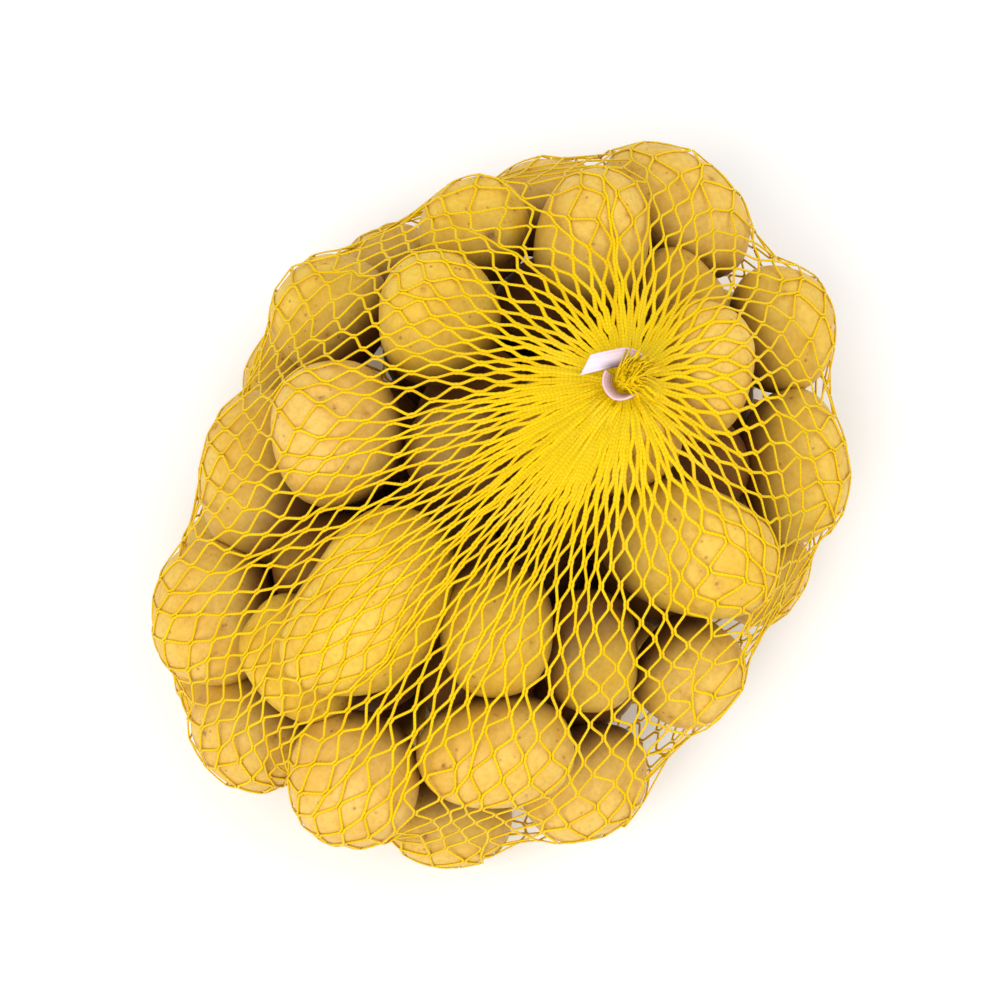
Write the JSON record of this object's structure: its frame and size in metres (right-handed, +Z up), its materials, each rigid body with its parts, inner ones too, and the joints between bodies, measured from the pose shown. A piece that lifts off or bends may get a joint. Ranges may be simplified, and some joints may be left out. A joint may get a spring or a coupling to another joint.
{
  "type": "net bag of potatoes",
  "caption": "Yellow net bag full of potatoes, lying flat with the gathered end of the net and its white plastic clip uppermost",
  "frame": {"origin": "on the surface that the bag lies on, under the middle of its outline", "axes": "X along the bag's long way, Y across it, Z up through the gathered end of the net"},
  "size_m": [0.3338, 0.26, 0.163],
  "materials": {
    "net_and_potatoes": "yellow knitted plastic net over bare golden potato skin",
    "clip_plastic": "smooth white plastic strip"
  },
  "bodies": {
    "root": {"net_bag": "net_and_potatoes", "top_clip": "clip_plastic", "base_clip": "clip_plastic"}
  },
  "joints": []
}
